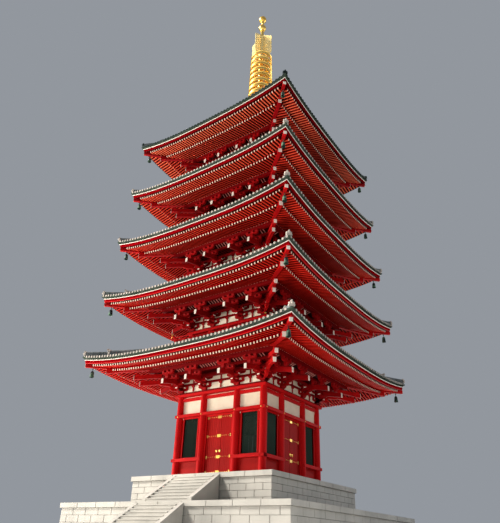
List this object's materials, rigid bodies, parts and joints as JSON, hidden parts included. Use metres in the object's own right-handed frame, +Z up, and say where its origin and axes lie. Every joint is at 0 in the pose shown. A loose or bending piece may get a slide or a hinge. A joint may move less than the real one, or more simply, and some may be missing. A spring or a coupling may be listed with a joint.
{
  "type": "pagoda scale model at 1 to 2",
  "caption": "Tall square tower with stacked upturned tiled roofs, two-tier rafters, bracketed walls, gilt ringed spire and hanging wind bells, on a stepped stone base.",
  "frame": {"origin": "centre of the stone base's underside, on the ground", "axes": "+Z up, -Y towards the front, +X to the right seen from the front"},
  "size_m": [8.9598, 13.1006, 26.65],
  "materials": {
    "stone": "rough dressed stone blocks",
    "red_paint": "satin vermilion paint",
    "door_paint": "satin dark vermilion paint with gilt fittings",
    "tile": "matt grey roof tile",
    "gilt": "bright gilding",
    "bronze": "dark green weathered bronze",
    "floor": "smooth flagstones",
    "white_paint": "matt cream white paint",
    "plaster": "smooth cream plaster"
  },
  "bodies": {
    "tower": {"stone_base": "stone", "front_lower_steps": "stone", "front_upper_steps": "stone", "back_lower_steps": "stone", "back_upper_steps": "stone", "ground_floor": "floor", "front_doors": "door_paint", "right_doors": "door_paint", "back_doors": "door_paint", "left_doors": "door_paint", "walls_1": "red_paint", "brackets_1": "red_paint", "eaves_1": "red_paint", "roof_1": "tile", "walls_2": "red_paint", "brackets_2": "red_paint", "eaves_2": "red_paint", "roof_2": "tile", "balcony_2": "red_paint", "walls_3": "red_paint", "brackets_3": "red_paint", "eaves_3": "red_paint", "roof_3": "tile", "balcony_3": "red_paint", "walls_4": "red_paint", "brackets_4": "red_paint", "eaves_4": "red_paint", "roof_4": "tile", "balcony_4": "red_paint", "walls_5": "red_paint", "brackets_5": "red_paint", "eaves_5": "red_paint", "roof_5": "tile", "balcony_5": "red_paint", "dew_basin": "gilt", "lotus_bowl": "gilt", "ring_mast": "gilt", "water_flame": "gilt", "jewels": "gilt"},
    "bell_1_front_right": {"bell_1_front_right": "bronze"},
    "bell_1_back_right": {"bell_1_back_right": "bronze"},
    "bell_1_back_left": {"bell_1_back_left": "bronze"},
    "bell_1_front_left": {"bell_1_front_left": "bronze"},
    "bell_2_front_right": {"bell_2_front_right": "bronze"},
    "bell_2_back_right": {"bell_2_back_right": "bronze"},
    "bell_2_back_left": {"bell_2_back_left": "bronze"},
    "bell_2_front_left": {"bell_2_front_left": "bronze"},
    "bell_3_front_right": {"bell_3_front_right": "bronze"},
    "bell_3_back_right": {"bell_3_back_right": "bronze"},
    "bell_3_back_left": {"bell_3_back_left": "bronze"},
    "bell_3_front_left": {"bell_3_front_left": "bronze"},
    "bell_4_front_right": {"bell_4_front_right": "bronze"},
    "bell_4_back_right": {"bell_4_back_right": "bronze"},
    "bell_4_back_left": {"bell_4_back_left": "bronze"},
    "bell_4_front_left": {"bell_4_front_left": "bronze"},
    "bell_5_front_right": {"bell_5_front_right": "bronze"},
    "bell_5_back_right": {"bell_5_back_right": "bronze"},
    "bell_5_back_left": {"bell_5_back_left": "bronze"},
    "bell_5_front_left": {"bell_5_front_left": "bronze"}
  },
  "joints": [
    {"name": "bell_1_front_right_swing", "type": "hinge", "parent": "tower", "child": "bell_1_front_right", "pos_m": [4.085, -4.085, 6.055], "axis": [0.7071, 0.7071, 0], "range_deg": [-25, 25]},
    {"name": "bell_1_back_right_swing", "type": "hinge", "parent": "tower", "child": "bell_1_back_right", "pos_m": [4.085, 4.085, 6.055], "axis": [-0.7071, 0.7071, 0], "range_deg": [-25, 25]},
    {"name": "bell_1_back_left_swing", "type": "hinge", "parent": "tower", "child": "bell_1_back_left", "pos_m": [-4.085, 4.085, 6.055], "axis": [-0.7071, -0.7071, 0], "range_deg": [-25, 25]},
    {"name": "bell_1_front_left_swing", "type": "hinge", "parent": "tower", "child": "bell_1_front_left", "pos_m": [-4.085, -4.085, 6.055], "axis": [0.7071, -0.7071, 0], "range_deg": [-25, 25]},
    {"name": "bell_2_front_right_swing", "type": "hinge", "parent": "tower", "child": "bell_2_front_right", "pos_m": [3.875, -3.875, 8.505], "axis": [0.7071, 0.7071, 0], "range_deg": [-25, 25]},
    {"name": "bell_2_back_right_swing", "type": "hinge", "parent": "tower", "child": "bell_2_back_right", "pos_m": [3.875, 3.875, 8.505], "axis": [-0.7071, 0.7071, 0], "range_deg": [-25, 25]},
    {"name": "bell_2_back_left_swing", "type": "hinge", "parent": "tower", "child": "bell_2_back_left", "pos_m": [-3.875, 3.875, 8.505], "axis": [-0.7071, -0.7071, 0], "range_deg": [-25, 25]},
    {"name": "bell_2_front_left_swing", "type": "hinge", "parent": "tower", "child": "bell_2_front_left", "pos_m": [-3.875, -3.875, 8.505], "axis": [0.7071, -0.7071, 0], "range_deg": [-25, 25]},
    {"name": "bell_3_front_right_swing", "type": "hinge", "parent": "tower", "child": "bell_3_front_right", "pos_m": [3.7, -3.7, 10.965], "axis": [0.7071, 0.7071, 0], "range_deg": [-25, 25]},
    {"name": "bell_3_back_right_swing", "type": "hinge", "parent": "tower", "child": "bell_3_back_right", "pos_m": [3.7, 3.7, 10.965], "axis": [-0.7071, 0.7071, 0], "range_deg": [-25, 25]},
    {"name": "bell_3_back_left_swing", "type": "hinge", "parent": "tower", "child": "bell_3_back_left", "pos_m": [-3.7, 3.7, 10.965], "axis": [-0.7071, -0.7071, 0], "range_deg": [-25, 25]},
    {"name": "bell_3_front_left_swing", "type": "hinge", "parent": "tower", "child": "bell_3_front_left", "pos_m": [-3.7, -3.7, 10.965], "axis": [0.7071, -0.7071, 0], "range_deg": [-25, 25]},
    {"name": "bell_4_front_right_swing", "type": "hinge", "parent": "tower", "child": "bell_4_front_right", "pos_m": [3.55, -3.55, 13.425], "axis": [0.7071, 0.7071, 0], "range_deg": [-25, 25]},
    {"name": "bell_4_back_right_swing", "type": "hinge", "parent": "tower", "child": "bell_4_back_right", "pos_m": [3.55, 3.55, 13.425], "axis": [-0.7071, 0.7071, 0], "range_deg": [-25, 25]},
    {"name": "bell_4_back_left_swing", "type": "hinge", "parent": "tower", "child": "bell_4_back_left", "pos_m": [-3.55, 3.55, 13.425], "axis": [-0.7071, -0.7071, 0], "range_deg": [-25, 25]},
    {"name": "bell_4_front_left_swing", "type": "hinge", "parent": "tower", "child": "bell_4_front_left", "pos_m": [-3.55, -3.55, 13.425], "axis": [0.7071, -0.7071, 0], "range_deg": [-25, 25]},
    {"name": "bell_5_front_right_swing", "type": "hinge", "parent": "tower", "child": "bell_5_front_right", "pos_m": [3.455, -3.455, 15.955], "axis": [0.7071, 0.7071, 0], "range_deg": [-25, 25]},
    {"name": "bell_5_back_right_swing", "type": "hinge", "parent": "tower", "child": "bell_5_back_right", "pos_m": [3.455, 3.455, 15.955], "axis": [-0.7071, 0.7071, 0], "range_deg": [-25, 25]},
    {"name": "bell_5_back_left_swing", "type": "hinge", "parent": "tower", "child": "bell_5_back_left", "pos_m": [-3.455, 3.455, 15.955], "axis": [-0.7071, -0.7071, 0], "range_deg": [-25, 25]},
    {"name": "bell_5_front_left_swing", "type": "hinge", "parent": "tower", "child": "bell_5_front_left", "pos_m": [-3.455, -3.455, 15.955], "axis": [0.7071, -0.7071, 0], "range_deg": [-25, 25]}
  ]
}
